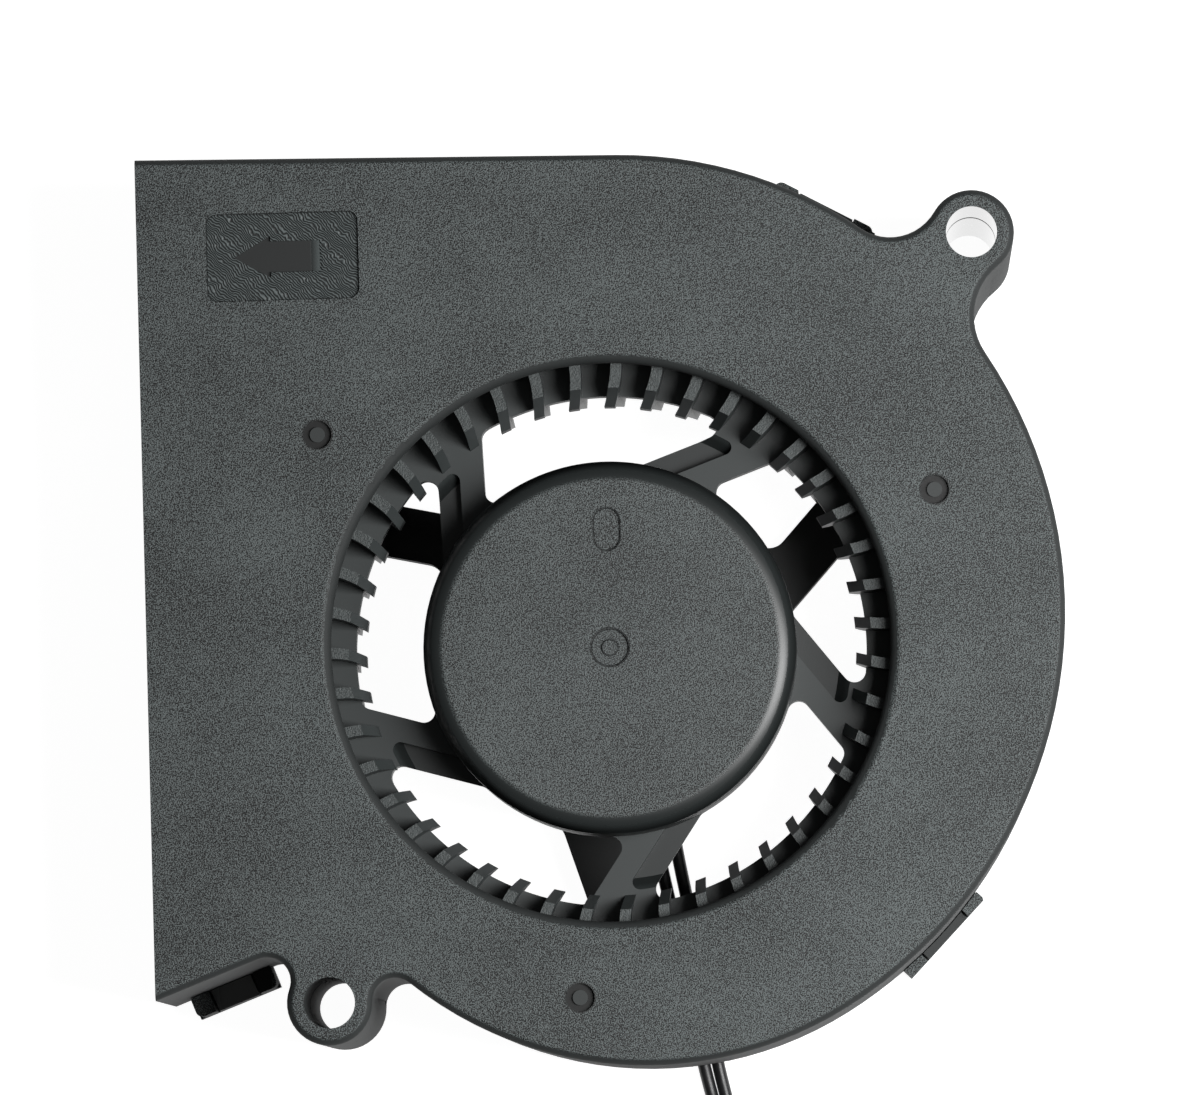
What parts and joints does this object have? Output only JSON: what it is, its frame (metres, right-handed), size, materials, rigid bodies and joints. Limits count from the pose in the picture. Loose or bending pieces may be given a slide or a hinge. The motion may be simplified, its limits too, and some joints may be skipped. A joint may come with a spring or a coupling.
{
  "type": "blower fan",
  "caption": "Flat centrifugal blower fan: scroll casing with mounting ears, round inlets front and rear, rectangular outlet, bladed impeller that turns on its own motor, and twin lead wires.",
  "frame": {"origin": "where the impeller's axis meets the rear mounting face", "axes": "+Z along the impeller's axis, from the rear face towards the inlet; -X out of the outlet; +Y towards the long flat side of the outlet duct"},
  "size_m": [0.0969, 0.1273, 0.033],
  "materials": {
    "casing_plastic": "fine spark-eroded grain",
    "rotor_plastic": "fine spark-eroded grain",
    "black_plastic": "satin",
    "insulator_plastic": "satin",
    "connector_plastic": "satin",
    "tube_brass": "turned",
    "yoke_steel": "zinc plated",
    "core_steel": "stacked laminations",
    "bearing_steel": "ground",
    "tinned_metal": "tinned",
    "magnet_ferrite": "sintered, bare",
    "copper_wire": "enamelled copper",
    "board_laminate": "solder mask",
    "capacitor_ceramic": "ceramic",
    "wire_sheath": "soft vinyl"
  },
  "bodies": {
    "housing": {"bearing_cap": "black_plastic", "bearing_tube": "tube_brass", "capacitors": "capacitor_ceramic", "circuit_board": "board_laminate", "connector_contacts": "tinned_metal", "connector_housing": "connector_plastic", "driver_chip": "black_plastic", "front_bearing_outer_ring": "bearing_steel", "front_cover": "casing_plastic", "hall_sensor": "black_plastic", "lead_coil_1": "wire_sheath", "lead_coil_2": "wire_sheath", "lead_tail_1": "wire_sheath", "lead_tail_2": "wire_sheath", "lead_tie": "black_plastic", "lead_wire_1": "wire_sheath", "lead_wire_2": "wire_sheath", "lower_insulator": "insulator_plastic", "rear_bearing_outer_ring": "bearing_steel", "rear_housing": "casing_plastic", "resistors": "black_plastic", "solder_joints": "tinned_metal", "stator_core": "core_steel", "terminal_pins": "tinned_metal", "upper_insulator": "insulator_plastic", "winding_1": "copper_wire", "winding_2": "copper_wire", "winding_3": "copper_wire", "winding_4": "copper_wire"},
    "rotor": {"front_bearing_balls": "bearing_steel", "front_bearing_inner_ring": "bearing_steel", "impeller": "rotor_plastic", "magnet_ring": "magnet_ferrite", "preload_washer": "bearing_steel", "rear_bearing_balls": "bearing_steel", "rear_bearing_inner_ring": "bearing_steel", "retaining_clip": "yoke_steel", "rotor_yoke": "yoke_steel", "shaft": "bearing_steel", "shaft_bush": "tube_brass"}
  },
  "joints": [
    {"name": "impeller_spin", "type": "hinge", "parent": "housing", "child": "rotor", "pos_m": [0, 0, 0.0143], "axis": [0, 0, 1], "continuous": true}
  ]
}
